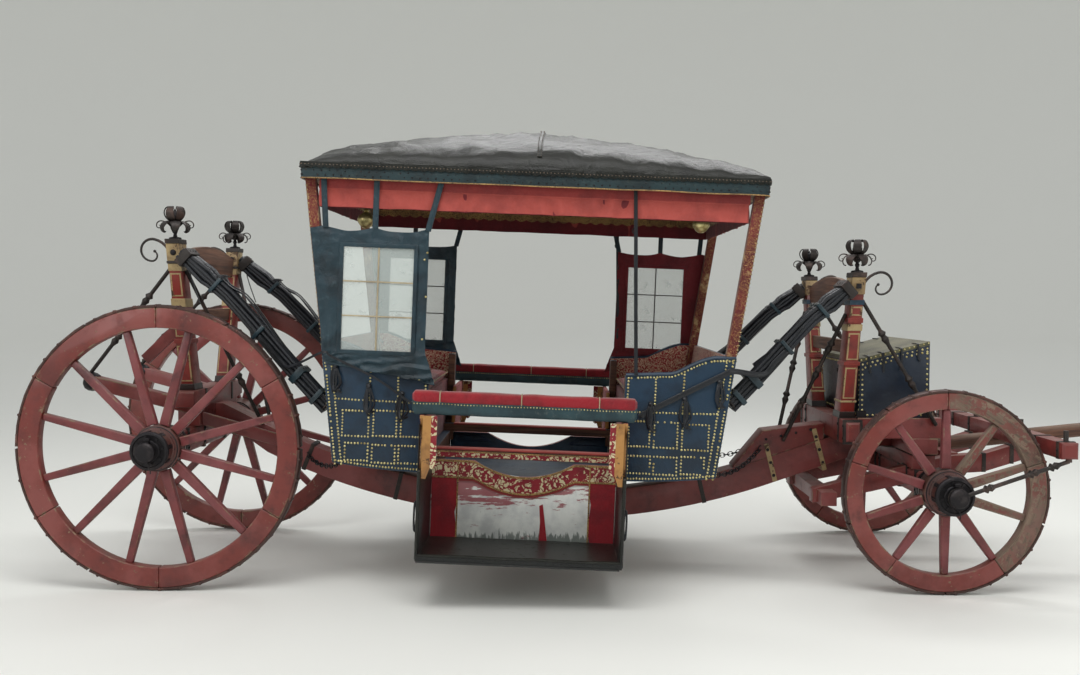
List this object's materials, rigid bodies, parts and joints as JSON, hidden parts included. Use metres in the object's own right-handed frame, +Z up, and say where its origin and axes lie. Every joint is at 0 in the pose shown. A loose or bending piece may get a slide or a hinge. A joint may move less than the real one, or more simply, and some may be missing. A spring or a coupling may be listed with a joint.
{
  "type": "horse-drawn coach",
  "caption": "Old four-wheeled horse-drawn coach, its open-sided leather body hung on straps between carved posts, with step boots at the doorways.",
  "frame": {"origin": "on the ground, below the middle of the whole length and width", "axes": "+X forward along the pole, +Y to the coach's left, +Z up"},
  "size_m": [8.2384, 2.3, 2.6005],
  "materials": {
    "red_wood": "worn brick-red paint on oak, satin",
    "bare_wood": "grey-brown timber, worn",
    "ochre_wood": "faded ochre paint and brocade on board",
    "iron": "forged iron, dark, hammered",
    "blue_leather": "blue-black leather with brass nails, worn",
    "black_leather": "black leather, glossy, creased",
    "red_cloth": "salmon-red cloth, faded, matt",
    "velvet": "crimson velvet, worn through in places",
    "pane": "clear old glass"
  },
  "bodies": {
    "carriage": {"perch": "red_wood", "perch_cap": "red_wood", "rear_axle": "red_wood", "rear_bolster": "red_wood", "rear_arms": "red_wood", "rear_hounds": "red_wood", "rear_posts": "red_wood", "rear_post_irons": "iron", "rear_cross_boards": "bare_wood", "rear_stays": "iron", "front_posts": "red_wood", "front_post_irons": "iron", "front_cross_boards": "bare_wood", "front_stays": "iron", "front_transom": "red_wood", "front_arms": "red_wood", "perch_bolt": "iron", "chest": "black_leather", "quarter_panels_right": "blue_leather", "quarter_panels_left": "blue_leather", "corner_pillars": "red_cloth", "end_panels": "blue_leather", "body_floor": "bare_wood", "roof_frame": "bare_wood", "roof_band": "blue_leather", "valance": "red_cloth", "roof_cover": "black_leather", "curtain_panels": "blue_leather", "window_glass": "pane", "bench_boxes": "bare_wood", "bench_cushions": "velvet", "boot_side_boards": "ochre_wood", "boot_trays": "black_leather", "boot_back_panels": "velvet", "door_bars": "velvet", "braces": "black_leather"},
    "fore_carriage": {"front_axle": "red_wood", "fore_bolster": "red_wood", "futchells": "red_wood", "splinter_bar": "red_wood", "draught_pole": "red_wood", "hub_stays": "iron"},
    "chest_lid_body": {"chest_lid": "black_leather"},
    "rear_right_wheel": {"wheel_rear_right_nave": "red_wood", "wheel_rear_right_spokes": "red_wood", "wheel_rear_right_felloes": "red_wood", "wheel_rear_right_tyre": "iron"},
    "rear_left_wheel": {"wheel_rear_left_nave": "red_wood", "wheel_rear_left_spokes": "red_wood", "wheel_rear_left_felloes": "red_wood", "wheel_rear_left_tyre": "iron"},
    "front_right_wheel": {"wheel_front_right_nave": "red_wood", "wheel_front_right_spokes": "red_wood", "wheel_front_right_felloes": "red_wood", "wheel_front_right_tyre": "iron"},
    "front_left_wheel": {"wheel_front_left_nave": "red_wood", "wheel_front_left_spokes": "red_wood", "wheel_front_left_felloes": "red_wood", "wheel_front_left_tyre": "iron"}
  },
  "joints": [
    {"name": "steer", "type": "hinge", "parent": "carriage", "child": "fore_carriage", "pos_m": [0.9357, 0, 0.71], "axis": [0, 0, 1], "range_deg": [-30, 30]},
    {"name": "rear_right_spin", "type": "hinge", "parent": "carriage", "child": "rear_right_wheel", "pos_m": [-3.3393, -0.765, 0.78], "axis": [0, 1, 0], "continuous": true},
    {"name": "rear_left_spin", "type": "hinge", "parent": "carriage", "child": "rear_left_wheel", "pos_m": [-3.3393, 0.765, 0.78], "axis": [0, 1, 0], "continuous": true},
    {"name": "front_right_spin", "type": "hinge", "parent": "fore_carriage", "child": "front_right_wheel", "pos_m": [0.9357, -0.765, 0.555], "axis": [0, 1, 0], "continuous": true},
    {"name": "front_left_spin", "type": "hinge", "parent": "fore_carriage", "child": "front_left_wheel", "pos_m": [0.9357, 0.765, 0.555], "axis": [0, 1, 0], "continuous": true},
    {"name": "lid_open", "type": "hinge", "parent": "carriage", "child": "chest_lid_body", "pos_m": [0.9777, 0, 1.3465], "axis": [0, 1, 0], "range_deg": [0, 100]}
  ]
}
